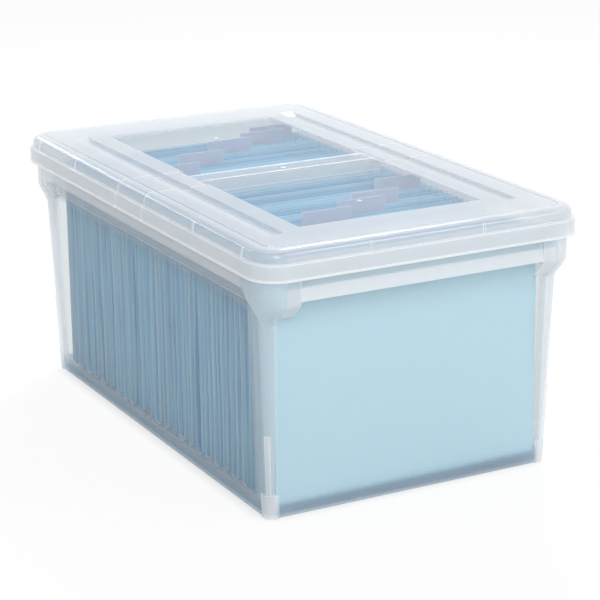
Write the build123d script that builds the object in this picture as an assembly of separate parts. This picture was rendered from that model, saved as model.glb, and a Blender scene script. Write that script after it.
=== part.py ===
"""Portable file box: a moulded tub, a lid of two wings on a centre bridge, and its hanging folders.

Millimetres.  X runs across the box, Y along its length, +Z up.  The origin is the middle of the tub's
flat underside.  Every node is written to parts/ as one STEP file.
"""
from build123d import *
import math
import os

# ---------------------------------------------------------------- clearances
SEAT = 0.3                    # lid on rim, hanger on rail
LID_PLAY = 1.0                # lid's skirt round the rim's lip
ROD_FIT = 0.1                 # hanger in its hem, paper in its tab
NOTCH_FIT = 0.6               # notch of a hanger over the rail, each side
SLIT = 0.8                    # gap between a wing and the bridge's wide ends

# ---------------------------------------------------------------- driving dimensions: tub
BASE_WIDTH = 320.0            # across the underside, X
BASE_LENGTH = 534.0           # along the underside, Y
BASE_RADIUS = 8.0             # plan radius of the four corners
TUB_HEIGHT = 262.7            # up to the top of the rim
DRAFT = 2.0                   # lean of every wall, degrees
WALL = 2.2                    # thickness of the tub's walls
FLOOR = 2.6                   # thickness of the tub's floor
BASE_EDGE = 1.6               # rounding where the floor meets the walls outside

RIM_BAND = 30.7               # height of the band below the rim
RIM_STEP = 5.9                # how far the band steps out on the long sides
HAND_DEPTH = 19.4             # how far the hand holds stand out on the short ends
RIM_RADIUS = 23.5             # plan radius of the rim band
LIP_OUT = 4.5                 # how far the lip on top of the rim stands out from the rim band
LIP_THICK = 2.4               # height of that lip
LIP_ROUND = 0.9               # rounding of that lip's outer edges

FLARE_DROP = 63.7             # depth below the rim where the corners start to swell out
FLARE_RISE = 26.0             # height over which they swell
FLARE_ALONG = 51.5            # length of the swelling along the long sides
FLARE_SLANT = 30.0            # how far its edge runs towards the corner on the way down
FLARE_BOW = 0.7               # share of that slant which is done halfway down
FLARE_ACROSS = 38.0           # length of the swelling along the short ends

HANDLE_DROP = 37.7            # depth of a hand hold's lower edge below the rim
HANDLE_UPRIGHT = 24.7         # depth where its skirt starts to lean out
HANDLE_LEAN = 4.0             # how far the lean brings the lower edge out

RAIL_DROP = 16.7              # depth of the file rails' top edge below the rim
RAIL_DEPTH = 36.0             # height of the file rails
RAIL_CHANNEL = 8.4            # room between a rail and the side wall, for the hooks
RAIL_THICK = 2.0

FOOT_HEIGHT = 25.0            # corner feet
FOOT_REACH = 11.0             # length of a foot along each wall from the corner
FOOT_OUT = 1.6                # how far a foot stands proud of the wall
CORNER_RIB_RISE = 62.0        # height of the stiffening rib above each foot
CORNER_RIB_WIDTH = 5.0
CORNER_RIB_OUT = 1.3

# ---------------------------------------------------------------- driving dimensions: lid
LID_WALL = 2.0                # thickness of the lid's skin
SKIRT_HEIGHT = 17.0           # from the step down to the lower edge
SHOULDER_HEIGHT = 13.0        # from the step up to the top
LIP_HEIGHT = 2.4              # height of the flared lip round the lower edge
LIP_FLARE = 1.0               # how far that lip stands out from the skirt
SHOULDER_IN = 3.5             # how far the shoulder steps in from the skirt
SHOULDER_RADIUS = 9.0         # rounding of the shoulder into the top
STEP_ROUND = 1.6              # rounding of the step's outer edge
FLARE_ROUND = 0.7             # rounding of the flared lip's edges
GROOVE_IN = 17.0              # groove round the top, in from the skirt
GROOVE_WIDTH = 2.6
GROOVE_DEPTH = 0.9

TROUGH_SIDE = 43.5            # stacking troughs, from the lid's side edge to the trough
TROUGH_WIDTH = 14.0
TROUGH_DEPTH = 3.5
TROUGH_LEFT = 60.0            # from the lid's end edge to the end of a trough
TROUGH_RAMP = 12.0            # length of the ramp at each end of a trough
TOP_ROUND = 0.6               # rounding of the edges of the troughs and windows
WINDOW_SIDE = 79.5            # from the lid's side edge to a window
WINDOW_LEFT = 74.0            # from the lid's end edge to a window
WINDOW_DEPTH = 1.6            # how far a window lies below the top
WINDOW_THICK = 1.6
RIB_WIDTH = 2.4               # small ribs on the shoulder
RIB_OUT = 0.8
RIB_ACROSS = 63.0             # ribs on the short ends, distance from the middle
RIB_ALONG = (47.0, 153.0)     # ribs on the long sides, distances from the lid's end edge

BRIDGE_WIDTH = 28.0           # width of the bridge between the windows
BRIDGE_END_WIDTH = 66.0       # width of the bridge's two wide ends
BRIDGE_EAR = 5.0              # from a window's side to where the bridge widens
BEAM_DEPTH = 18.0             # depth of the two walls under the bridge, from the lid's top
BEAM_WALL = 2.0
BEAD_WIDTH = 2.6              # raised bead along each edge of the bridge
BEAD_HEIGHT = 1.0
BEAD_ROUND = 0.8              # rounding of a bead's top edges
HINGE_WIDTH = 2.0             # width of the thin living hinge
HINGE_THICK = 0.5

# ---------------------------------------------------------------- driving dimensions: hanging folders
FOLDERS = 25
FRONT_ROOM = 2.4              # room between the front end wall and the first folder
REAR_ROOM = 10.0              # room between the last folder and the rear end wall, for sliding
FLOOR_ROOM = 5.4              # room under the folders
SIDE_ROOM = 8.0               # card's edge to the middle of the rail, each side
PANEL_SPACING = 10.5          # middle of the front panel to middle of the rear panel
CARD = 0.8                    # card thickness
HEM_HEIGHT = 10.0             # folded top edge that holds the hanger
HEM_THICK = 2.2
HANGER_THICK = 0.9
HANGER_HEIGHT = 8.0
HOOK_REACH = 5.0              # from the middle of the rail to a hanger's tip
HANGER_ROUND = 2.0            # rounding of the hanger's tips
HOOK_NECK = 3.2               # metal left above the notch that sits on the rail

TAB_WIDTH = 57.0
TAB_ABOVE = 14.0              # height of a tab above its folder
TAB_LAP = 5.0                 # how far a tab laps the folder's hem
TAB_THICK = 1.4
TAB_SKIN = 0.4
# folder number, and distance of the tab's middle from the middle of the box
TABS = ((7, -23.0), (8, 30.0), (9, 58.0), (11, 111.0), (19, -72.0), (21, -23.0), (23, 35.0), (24, 87.0),
        (25, 110.0))

# ---------------------------------------------------------------- sizes that follow
LEAN = math.tan(math.radians(DRAFT))
RIM_FROM = TUB_HEIGHT - RIM_BAND
RIM_WIDTH = BASE_WIDTH + 2 * (RIM_FROM * LEAN + RIM_STEP)
RIM_LENGTH = BASE_LENGTH + 2 * (RIM_FROM * LEAN + HAND_DEPTH)
FLARE_FROM = TUB_HEIGHT - FLARE_DROP
FLARE_Y = RIM_LENGTH / 2 - FLARE_ALONG
FLARE_X = RIM_WIDTH / 2 - FLARE_ACROSS

RAIL_TOP = TUB_HEIGHT - RAIL_DROP
RAIL_FROM = RAIL_TOP - RAIL_DEPTH
RAIL_X = BASE_WIDTH / 2 + RAIL_TOP * LEAN - WALL - RAIL_CHANNEL - RAIL_THICK / 2

SKIRT_WIDTH = RIM_WIDTH + 2 * (LIP_OUT + LID_PLAY + LID_WALL)
SKIRT_LENGTH = RIM_LENGTH + 2 * (LIP_OUT + LID_PLAY + LID_WALL)
SKIRT_RADIUS = RIM_RADIUS + LIP_OUT + LID_PLAY + LID_WALL
LID_STEP = TUB_HEIGHT + SEAT + LID_WALL
LID_TOP = LID_STEP + SHOULDER_HEIGHT
LID_BOTTOM = LID_STEP - SKIRT_HEIGHT
LID_X = SKIRT_WIDTH / 2 + LIP_FLARE
LID_Y = SKIRT_LENGTH / 2 + LIP_FLARE
WINDOW_X = LID_X - WINDOW_SIDE
WINDOW_Y = LID_Y - WINDOW_LEFT
WINDOW_TOP = LID_TOP - WINDOW_DEPTH
WINDOW_UNDER = WINDOW_TOP - WINDOW_THICK
EAR_X = WINDOW_X + BRIDGE_EAR
EAR_Y = BRIDGE_END_WIDTH / 2

FOLDER_TOP = RAIL_TOP + SEAT + HOOK_NECK + (HEM_HEIGHT - HANGER_HEIGHT) / 2
FOLDER_LOW = FLOOR + FLOOR_ROOM
FOLDER_X = RAIL_X - SIDE_ROOM
HANGER_MIDDLE = FOLDER_TOP - HEM_HEIGHT / 2
END_WALL = BASE_LENGTH / 2 + FOLDER_LOW * LEAN - WALL
CARD_HALF = (PANEL_SPACING + CARD) / 2
FIRST_FOLDER = -END_WALL + FRONT_ROOM + CARD_HALF
LAST_FOLDER = END_WALL - REAR_ROOM - CARD_HALF
FOLDER_PITCH = (LAST_FOLDER - FIRST_FOLDER) / (FOLDERS - 1)


def place(z, shape):
    """Move a sketch up to a height."""
    return Pos(0, 0, z) * shape


def outline(width, length, radius, inset=0.0):
    """A rounded rectangle, drawn in from the given size."""
    return RectangleRounded(width - 2 * inset, length - 2 * inset, radius - inset)


def slab(width, length, radius, low, high, inset=0.0):
    """A rounded plate between two heights."""
    return extrude(place(low, outline(width, length, radius, inset)), high - low)


def rounded(plate, radius):
    """A plate with its upper and lower edges rounded."""
    levels = plate.edges().group_by(Axis.Z)
    return fillet(levels[0] + levels[-1], radius)


def block(x0, x1, y0, y1, z0, z1):
    """A plain box between six planes."""
    return Pos((x0 + x1) / 2, (y0 + y1) / 2, (z0 + z1) / 2) * Box(x1 - x0, y1 - y0, z1 - z0)


def both_ends(solid):
    """A feature of one end repeated at the other end."""
    return solid + mirror(solid, Plane.XZ)


def both_sides(solid):
    """A feature of one side repeated on the other side."""
    return solid + mirror(solid, Plane.YZ)


def four_corners(solid):
    """A feature of one corner repeated at all four."""
    return both_ends(both_sides(solid))


# ---------------------------------------------------------------- tub
def wall_face(z, inset=0.0):
    """Outline of the tapered walls at a height."""
    grow = 2 * z * LEAN
    return place(z, outline(BASE_WIDTH + grow, BASE_LENGTH + grow, BASE_RADIUS, inset))


def tapered_body(low, inset=0.0):
    """The tub's tapered walls as a solid, from a height up to the rim."""
    return loft([wall_face(low, inset), wall_face(TUB_HEIGHT, inset)])


def rim_slab(low, high, inset=0.0):
    """A plate with the rim band's outline."""
    return slab(RIM_WIDTH, RIM_LENGTH, RIM_RADIUS, low, high, inset)


def flare_face(share, z, inset):
    """Outline part of the way from the tapered wall to the rim band."""
    wall_width = BASE_WIDTH + 2 * z * LEAN
    wall_length = BASE_LENGTH + 2 * z * LEAN
    width = wall_width + share * (RIM_WIDTH - wall_width)
    length = wall_length + share * (RIM_LENGTH - wall_length)
    radius = BASE_RADIUS + share * (RIM_RADIUS - BASE_RADIUS)
    return place(z, outline(width, length, radius, inset))


def corner_flare(inset=0.0):
    """The swelling of the four corners: an S-shaped loft, kept only near the corners."""
    steps = 6
    sections = []
    for i in range(steps + 1):
        t = i / steps
        share = t * t * (3 - 2 * t)
        sections.append(flare_face(share, FLARE_FROM + t * FLARE_RISE, inset))
    swell = loft(sections) + rim_slab(FLARE_FROM + FLARE_RISE, TUB_HEIGHT, inset)
    far = RIM_LENGTH
    high = TUB_HEIGHT + 1
    low = FLARE_FROM - 1
    edge = FLARE_Y + inset
    end = edge + FLARE_SLANT
    halfway = (0, edge + FLARE_BOW * FLARE_SLANT, (RIM_FROM + low) / 2)
    side_view = ThreePointArc((0, edge, RIM_FROM), halfway, (0, end, low))
    side_view += Polyline((0, end, low), (0, far, low), (0, far, high), (0, edge, high), (0, edge, RIM_FROM))
    keep = extrude(make_face(side_view), RIM_WIDTH, dir=(1, 0, 0))
    keep &= block(FLARE_X + inset, RIM_WIDTH, 0, far, 0, high)
    return swell & four_corners(keep)


def rim_band(inset=0.0):
    """The long sides' step out to the rim band."""
    reach = FLARE_Y + 2 * WALL
    return rim_slab(RIM_FROM + inset, TUB_HEIGHT, inset) & block(-RIM_WIDTH, RIM_WIDTH, -reach, reach, 0,
                                                                 TUB_HEIGHT + 1)


def hand_hold():
    """The skirt of the front end's hand hold: straight, then leaning out to its lower edge."""
    out = RIM_LENGTH / 2
    face = out - HANDLE_LEAN
    bend = TUB_HEIGHT - HANDLE_UPRIGHT
    low = TUB_HEIGHT - HANDLE_DROP
    section = Polyline((0, -face, TUB_HEIGHT), (0, -face, bend), (0, -out, low), (0, -out + WALL, low),
                       (0, -face + WALL, bend), (0, -face + WALL, TUB_HEIGHT), close=True)
    span = FLARE_X + WALL
    return Pos(-span, 0, 0) * extrude(make_face(section), 2 * span, dir=(1, 0, 0))


def rim_lip():
    """The flat lip on top of the rim, which carries the lid, with the webs over the hand holds."""
    low = TUB_HEIGHT - LIP_THICK
    end_wall = BASE_LENGTH / 2 + TUB_HEIGHT * LEAN - WALL
    web_side = FLARE_X + WALL
    web = block(-web_side, web_side, end_wall, RIM_LENGTH, low, TUB_HEIGHT)
    opening = rim_slab(low, TUB_HEIGHT, WALL) - both_ends(web)
    lip = rim_slab(low, TUB_HEIGHT, -LIP_OUT)
    return rounded(lip, LIP_ROUND) - opening


def file_rails():
    """The rails for the folders' hangers: on each side, a shelf from the wall and a fin that stands on it."""
    fin_in = RAIL_X - RAIL_THICK / 2
    shelf = block(fin_in, RIM_WIDTH, -RIM_LENGTH, RIM_LENGTH, RAIL_FROM, RAIL_FROM + RAIL_THICK)
    fin = block(fin_in, fin_in + RAIL_THICK, -RIM_LENGTH, RIM_LENGTH, RAIL_FROM, RAIL_TOP)
    return both_sides(shelf + fin) & tapered_body(FLOOR, WALL / 2)


def corner_foot():
    """A foot wrapped round one corner, standing a little proud of the walls."""
    thick = loft([wall_face(0, -FOOT_OUT), wall_face(FOOT_HEIGHT, -FOOT_OUT)])
    x0 = BASE_WIDTH / 2 - FOOT_REACH
    y0 = BASE_LENGTH / 2 - FOOT_REACH
    return thick & block(x0, BASE_WIDTH, y0, BASE_LENGTH, 0, FOOT_HEIGHT)


def corner_rib():
    """The slim upright rib on one corner, above its foot."""
    rib_top = FOOT_HEIGHT + CORNER_RIB_RISE
    shell = loft([wall_face(FOOT_HEIGHT, -CORNER_RIB_OUT), wall_face(rib_top, -CORNER_RIB_OUT)])
    reach = 4 * BASE_RADIUS
    stick = Pos(reach / 2, 0, (rib_top + FOOT_HEIGHT) / 2) * Box(reach, CORNER_RIB_WIDTH, CORNER_RIB_RISE)
    corner = Pos(BASE_WIDTH / 2 - BASE_RADIUS, BASE_LENGTH / 2 - BASE_RADIUS, 0)
    return shell & (corner * Rot(0, 0, 45) * stick)


def tub():
    """The open tub, one moulding."""
    outside = tapered_body(0)
    outside = fillet(outside.edges().group_by(Axis.Z)[0], BASE_EDGE)
    outside += four_corners(corner_foot() + corner_rib())
    outside += corner_flare() + rim_band()
    inside = tapered_body(FLOOR, WALL) + corner_flare(WALL) + rim_band(WALL)
    shell = outside - inside
    return shell + both_ends(hand_hold()) + rim_lip() + file_rails()


# ---------------------------------------------------------------- lid
def lid_slab(low, high, inset=0.0):
    """A plate with the lid skirt's outline, drawn in by an inset."""
    return slab(SKIRT_WIDTH, SKIRT_LENGTH, SKIRT_RADIUS, low, high, inset)


def dome(low, high, inset, radius):
    """A plate with a rounded upper edge, for the lid's shoulder."""
    plate = lid_slab(low, high, inset)
    return fillet(plate.edges().group_by(Axis.Z)[-1], radius)


def lid_solid(skin):
    """The lid's skirt and shoulder as a solid, drawn in by a skin for the hollow below it."""
    skirt = dome(LID_BOTTOM, LID_STEP - skin, skin, STEP_ROUND)
    return skirt + dome(LID_BOTTOM, LID_TOP - skin, SHOULDER_IN + skin, SHOULDER_RADIUS - skin)


def troughs(low, skin=0.0):
    """The two long troughs with their ramped ends, as the space they take up or with the skin round it."""
    x0 = LID_X - TROUGH_SIDE - TROUGH_WIDTH - skin
    end = LID_Y - TROUGH_LEFT + skin
    bottom = end - TROUGH_RAMP
    high = LID_TOP + skin
    side_view = Polyline((0, -end, high), (0, -bottom, low), (0, bottom, low), (0, end, high), close=True)
    trough = extrude(make_face(side_view), TROUGH_WIDTH + 2 * skin, dir=(1, 0, 0))
    return both_sides(Pos(x0, 0, 0) * trough)


def top_edges(shell, x0, x1):
    """The edges of the lid's flat top that run between two distances from the middle of the lid."""
    flat = shell.edges().filter_by(lambda e: abs(e.bounding_box().min.Z - LID_TOP) < SEAT / 10
                                   and abs(e.bounding_box().max.Z - LID_TOP) < SEAT / 10)
    return flat.filter_by(lambda e: x0 <= abs(e.center().X) <= x1)


def groove():
    """The fine groove round the lid's top."""
    low = LID_TOP - GROOVE_DEPTH
    return lid_slab(low, LID_TOP + 1, GROOVE_IN) - lid_slab(low, LID_TOP + 1, GROOVE_IN + GROOVE_WIDTH)


def window_area(low, skin=0.0):
    """The shallow recess of both windows, widened where the wings meet the bridge."""
    high = LID_TOP + 1
    x = WINDOW_X + skin
    y = WINDOW_Y + skin
    tongue_x = EAR_X + skin
    tongue_y = EAR_Y + skin
    return block(-x, x, -y, y, low, high) + block(-tongue_x, tongue_x, -tongue_y, tongue_y, low, high)


def shoulder_ribs():
    """The small upright ribs on the lid's shoulder."""
    low = LID_STEP - LID_WALL
    skin = dome(low, LID_TOP, SHOULDER_IN - RIB_OUT, SHOULDER_RADIUS)
    half = RIB_WIDTH / 2
    high = LID_TOP - SHOULDER_RADIUS / 3
    reach = LID_WALL + SHOULDER_IN
    x0 = SKIRT_WIDTH / 2 - reach
    y0 = SKIRT_LENGTH / 2 - reach
    keep = four_corners(block(RIB_ACROSS - half, RIB_ACROSS + half, y0, LID_Y, low, high))
    for from_end in RIB_ALONG:
        y = LID_Y - from_end
        keep += four_corners(block(x0, LID_X, y - half, y + half, low, high))
    return skin & keep


def whole_lid():
    """The lid as moulded, before the slits that part the wings from the bridge."""
    lip = rounded(lid_slab(LID_BOTTOM, LID_BOTTOM + LIP_HEIGHT, -LIP_FLARE), FLARE_ROUND)
    shell = lid_solid(0) + lip + shoulder_ribs()
    hollow = lid_solid(LID_WALL)
    hollow -= troughs(LID_TOP - TROUGH_DEPTH - LID_WALL, LID_WALL)
    hollow -= window_area(WINDOW_UNDER, LID_WALL)
    shell -= hollow
    shell -= troughs(LID_TOP - TROUGH_DEPTH)
    shell -= window_area(WINDOW_TOP)
    shell = fillet(top_edges(shell, 0, LID_X - TROUGH_SIDE), TOP_ROUND)
    return shell - groove()


def front_wing(lid):
    """The front wing: the lid in front of the bridge, with its window in one piece."""
    high = LID_TOP + 1
    near = -BRIDGE_WIDTH / 2 - HINGE_WIDTH
    tongue = block(-EAR_X, EAR_X, -LID_Y, near, 0, high)
    frame = block(-LID_X, LID_X, -LID_Y, -EAR_Y - SLIT, 0, high)
    return lid & (tongue + frame)


def bridge(lid):
    """The bridge: its share of the lid, a raised bead on each edge and two walls below."""
    high = LID_TOP + 1
    edge = BRIDGE_WIDTH / 2
    strip = block(-LID_X, LID_X, -edge, edge, 0, high)
    ear = block(EAR_X + SLIT, LID_X, -EAR_Y, EAR_Y, 0, high)
    piece = lid & (strip + both_sides(ear))
    bead = block(-WINDOW_X, WINDOW_X, edge - BEAD_WIDTH, edge, WINDOW_TOP, WINDOW_TOP + BEAD_HEIGHT)
    bead = fillet(bead.edges().filter_by(Axis.X).group_by(Axis.Z)[-1], BEAD_ROUND)
    beam_end = EAR_X + SLIT + 2 * BEAM_WALL
    low = LID_TOP - BEAM_DEPTH
    wall = block(-beam_end, beam_end, edge - BEAM_WALL, edge, low, WINDOW_UNDER)
    cap = block(beam_end - BEAM_WALL, beam_end, -edge, edge, low, WINDOW_UNDER)
    return piece + both_ends(bead) + both_ends(wall) + both_sides(cap)


def front_hinge():
    """The thin web that lets the front wing fold, in the middle of the window plate's thickness."""
    z = (WINDOW_TOP + WINDOW_UNDER) / 2
    rear = -BRIDGE_WIDTH / 2
    return block(-EAR_X, EAR_X, rear - HINGE_WIDTH, rear, z - HINGE_THICK / 2, z + HINGE_THICK / 2)


# ---------------------------------------------------------------- hanging folders
def folder_middle(number):
    """Place of a folder along the box, numbered from the front."""
    return FIRST_FOLDER + (number - 1) * FOLDER_PITCH


def panels(middle):
    """Places of a folder's front and rear panel along the box."""
    return (middle - PANEL_SPACING / 2, middle + PANEL_SPACING / 2)


def sleeve(y):
    """The space inside a hem, for the hanger."""
    half_thick = HANGER_THICK / 2 + ROD_FIT
    half_high = HANGER_HEIGHT / 2 + ROD_FIT
    side = FOLDER_X + 1
    return block(-side, side, y - half_thick, y + half_thick, HANGER_MIDDLE - half_high,
                 HANGER_MIDDLE + half_high)


def folder(middle):
    """One hanging folder: two card panels joined at the bottom, each with a hem along its top."""
    front, rear = panels(middle)
    half = CARD / 2
    card = block(-FOLDER_X, FOLDER_X, front - half, rear + half, FOLDER_LOW, FOLDER_TOP)
    side = FOLDER_X + 1
    card -= block(-side, side, front + half, rear - half, FOLDER_LOW + CARD, FOLDER_TOP + 1)
    for y in (front, rear):
        card += block(-FOLDER_X, FOLDER_X, y - HEM_THICK / 2, y + HEM_THICK / 2, FOLDER_TOP - HEM_HEIGHT,
                      FOLDER_TOP)
        card -= sleeve(y)
    return card


def hanger(y):
    """One flat metal hanger with a notch near each tip that sits over the rail."""
    strip = fillet(Rectangle(2 * (RAIL_X + HOOK_REACH), HANGER_HEIGHT).vertices(), HANGER_ROUND)
    strip = Pos(0, y, HANGER_MIDDLE) * extrude(Plane.XZ * strip, HANGER_THICK / 2, both=True)
    half = RAIL_THICK / 2 + NOTCH_FIT
    notch = block(RAIL_X - half, RAIL_X + half, y - HANGER_THICK, y + HANGER_THICK,
                  HANGER_MIDDLE - HANGER_HEIGHT, RAIL_TOP + SEAT)
    return strip - both_sides(notch)


def hangers(middle):
    """The two hangers of one folder."""
    return Compound(children=[hanger(y) for y in panels(middle)])


def tab_box(number, x, margin):
    """A tab's outer size drawn in by a margin; it stands against the front of its folder's front hem."""
    rear = panels(folder_middle(number))[0] - HEM_THICK / 2
    half = TAB_WIDTH / 2 - margin
    return block(x - half, x + half, rear - TAB_THICK + margin, rear - margin,
                 FOLDER_TOP - TAB_LAP + margin, FOLDER_TOP + TAB_ABOVE - margin)


def tab(number, x):
    """One clear tab: a flat sleeve, closed round a paper strip."""
    return tab_box(number, x, 0) - tab_box(number, x, TAB_SKIN)


def tab_insert(number, x):
    """The blank paper strip inside one tab."""
    return tab_box(number, x, TAB_SKIN + ROD_FIT)


# ---------------------------------------------------------------- writing the parts
def write(name, shape):
    """Write one node."""
    export_step(shape, f"parts/{name}.step")


def main():
    """Build every node."""
    os.makedirs("parts", exist_ok=True)
    write("tub", tub())
    lid = whole_lid()
    wing = front_wing(lid)
    write("wing_front", wing)
    write("wing_rear", mirror(wing, Plane.XZ))
    write("lid_bridge", bridge(lid))
    write("hinge_front", front_hinge())
    write("hinge_rear", mirror(front_hinge(), Plane.XZ))
    for number in range(1, FOLDERS + 1):
        middle = folder_middle(number)
        write(f"folder_{number:02d}", folder(middle))
        write(f"hangers_{number:02d}", hangers(middle))
    write("tabs", Compound(children=[tab(number, x) for number, x in TABS]))
    write("tab_inserts", Compound(children=[tab_insert(number, x) for number, x in TABS]))


main()
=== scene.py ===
"""Portable file box: finishes, card folders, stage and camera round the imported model.
"""
import math

import bpy
import numpy as np
from mathutils import Matrix, Vector


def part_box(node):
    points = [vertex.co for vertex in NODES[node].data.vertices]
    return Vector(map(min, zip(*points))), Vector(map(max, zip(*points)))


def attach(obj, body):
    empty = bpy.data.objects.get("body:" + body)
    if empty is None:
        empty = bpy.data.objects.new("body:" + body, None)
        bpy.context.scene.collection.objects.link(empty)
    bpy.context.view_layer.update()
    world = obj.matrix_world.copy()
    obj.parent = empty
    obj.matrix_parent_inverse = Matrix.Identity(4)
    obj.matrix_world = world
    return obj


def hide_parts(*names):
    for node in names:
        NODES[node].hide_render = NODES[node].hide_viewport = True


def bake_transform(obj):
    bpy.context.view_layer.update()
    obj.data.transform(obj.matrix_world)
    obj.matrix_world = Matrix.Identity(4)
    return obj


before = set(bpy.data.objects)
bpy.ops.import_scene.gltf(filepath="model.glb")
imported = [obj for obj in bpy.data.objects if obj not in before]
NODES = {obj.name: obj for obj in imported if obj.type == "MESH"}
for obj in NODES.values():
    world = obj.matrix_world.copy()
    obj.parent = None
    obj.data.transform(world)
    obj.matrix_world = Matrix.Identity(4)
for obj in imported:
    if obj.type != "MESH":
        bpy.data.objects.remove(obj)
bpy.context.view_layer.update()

bl_info = {
    "name": "Portable file box",
    "version": (1, 0, 0),
    "blender": (4, 5, 0),
    "location": "View3D > Sidebar > File box",
    "description": "Finishes and card folders for a moulded file box",
    "category": "Object",
}

MM = 0.001
FOLDER_NODES = sorted(n for n in NODES if n.startswith("folder_"))
HANGER_NODES = sorted(n for n in NODES if n.startswith("hangers_"))
LID_NODES = ("wing_front", "wing_rear", "lid_bridge")

# Places of the mouldings' details, in metres: X and Y from the middle of the box, Z up from the floor.
TUB_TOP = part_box("tub")[1]
LID_LOW, LID_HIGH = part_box("wing_front")[0].z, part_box("wing_front")[1].z
LID_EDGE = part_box("wing_rear")[1]
CARD_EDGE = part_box("folder_01")[1].x

# The tub: file rails, rim band, hand holds, upright corners, the swells under the rim, and the foot.
RAIL_X = (150 * MM, 158.4 * MM)
RAIL_Z = TUB_TOP.z - 53 * MM
RAIL_TOP = TUB_TOP.z - 16.7 * MM
RIM_Z = TUB_TOP.z - 31 * MM
HAND_Z = (TUB_TOP.z - 38.5 * MM, TUB_TOP.z - 24.7 * MM)
HAND_X, HAND_Y = TUB_TOP.x - 42.5 * MM, TUB_TOP.y - 20 * MM
CORNER_X, CORNER_Y = TUB_TOP.x - 27 * MM, TUB_TOP.y - 54 * MM
ARC_Y = TUB_TOP.y - 36 * MM
SWELL_X, SWELL_Y, SWELL_Z = TUB_TOP.x - 46 * MM, TUB_TOP.y - 21 * MM, TUB_TOP.z - 64 * MM
PILLAR_X = CARD_EDGE + 4 * MM
FOOT_Y = TUB_TOP.y - 37 * MM
FOOT_Z = (14.5 * MM, 16 * MM)
CORNER_FOOT = (TUB_TOP.x - 28.7 * MM, TUB_TOP.y - 42.4 * MM, 25 * MM)
CORNER_RIB = (TUB_TOP.x - 21.4 * MM, TUB_TOP.y - 35.4 * MM, 87 * MM)

# The lid: hinge webs, windows, the bridge's beads, gates, lip, step, shoulder, groove and long troughs.
HINGE_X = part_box("hinge_front")[1].x
HINGE_Y = (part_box("hinge_rear")[0].y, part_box("hinge_rear")[1].y)
HINGE_Z = (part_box("hinge_front")[0].z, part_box("hinge_front")[1].z)
WINDOW_X = HINGE_X - 5 * MM
WINDOW_Y = LID_EDGE.y - 74 * MM
WINDOW_Z = (LID_HIGH - 3.4 * MM, LID_HIGH - 1.45 * MM)
WINDOW_TOP = LID_HIGH - 1.6 * MM
BEAD_Y = HINGE_Y[0] - 2.6 * MM
GATE_Y = 165 * MM
LIP_Z = LID_LOW + 2.4 * MM
STEP_Z = LID_HIGH - 13 * MM
SHOULDER_X, SHOULDER_Y = LID_EDGE.x - 14 * MM, LID_EDGE.y - 14 * MM
GROOVE_X = (LID_EDGE.x - 22 * MM, LID_EDGE.x - 16.5 * MM)
GROOVE_Y = (LID_EDGE.y - 22 * MM, LID_EDGE.y - 16.5 * MM)
GROOVE_Z = LID_HIGH - 0.9 * MM
TROUGH_X = (LID_EDGE.x - 57.5 * MM, LID_EDGE.x - 43.5 * MM)
RAMP_Y = (LID_EDGE.y - 72 * MM, LID_EDGE.y - 60 * MM)

# Plastic: the share of light that the milk passes on, the haziest a face gets, and what counts as an edge;
# how sharply haze and gloss grow with the slant; how strongly lip, step and ramps take the beads' painted
# highlight; and the tabs' vinyl.
PASSED_ON = 0.42
MOST_HAZE = 0.97
EDGE_REACH = 1.0 * MM
EDGE_LEAN = (0.95, 0.8)
SLANT_POWER, GLOSS_POWER = 3.0, 5.0
LIP_HIGHLIGHT, RAMP_HIGHLIGHT = 0.75, 0.6
TAB_HAZE, TAB_EDGE, TAB_GLOSS, TAB_GRAZE = 0.2, 0.6, 0.04, 0.6

# Card: its hems and bends, where its panels begin to warp and how long their waves are, how far the outermost
# ones may warp, where the painted streaks of light and shade and the painted cut edge highlight begin, and
# the angle over which its shading breaks.
HEM = 10 * MM
HANGER_LOOP = 0.85 * MM
CARD_TURN = 3.0 * MM
CARD_SWING = 15 * MM
WARP_FROM, WARP_EASE = 20 * MM, 110 * MM
WAVE_LENGTHS = (120 * MM, 420 * MM)
HELD_FLAT = 0.15
STREAK_X = CARD_EDGE - 18 * MM
CUT_EDGE, CUT_EDGE_SOFT = 0.976, 0.01
SHARP_ANGLE = math.radians(35)

# Stage: each lamp's setting, place, width and depth, the point they look at, and the floor's half side.
LAMPS = {
    "key": ((-1.0, -2.4, 1.5), 1.0, 1.0),
    "side": ((1.3, -1.9, 2.0), 0.7, 0.7),
    "back": ((1.07, 1.35, 1.7), 0.5, 0.5),
    "strip": ((-0.6, 2.0, 1.15), 1.4, 0.12),
}
LAMP_AIM = (0, 0, 0.2)
FLOOR_HALF = 6.0
FLOOR_WHITE = 0.9


# ---------------------------------------------------------------- colours
def linear(code):
    """Linear RGBA of an sRGB hex code."""
    values = [int(code[i:i + 2], 16) / 255 for i in (1, 3, 5)]
    return tuple(v / 12.92 if v <= 0.04045 else ((v + 0.055) / 1.055) ** 2.4 for v in values) + (1.0,)


def colour_property(name, description, code):
    """A colour setting with an sRGB hex default."""
    return bpy.props.FloatVectorProperty(name=name, description=description, subtype="COLOR",
                                         size=4, min=0, max=1, default=linear(code))


def share_property(name, description, default):
    """A setting between 0 and 1."""
    return bpy.props.FloatProperty(name=name, description=description, subtype="FACTOR",
                                   min=0, max=1, default=default)


def length_property(name, description, default):
    """A length in metres."""
    return bpy.props.FloatProperty(name=name, description=description, unit="LENGTH", default=default)


def angle_property(name, description, degrees):
    """An angle, given in degrees and kept in radians."""
    return bpy.props.FloatProperty(name=name, description=description, subtype="ANGLE",
                                   default=math.radians(degrees))


def power_property(name, description, default):
    """A lamp's power in watts."""
    return bpy.props.FloatProperty(name=name, description=description, unit="POWER", default=default)


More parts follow.
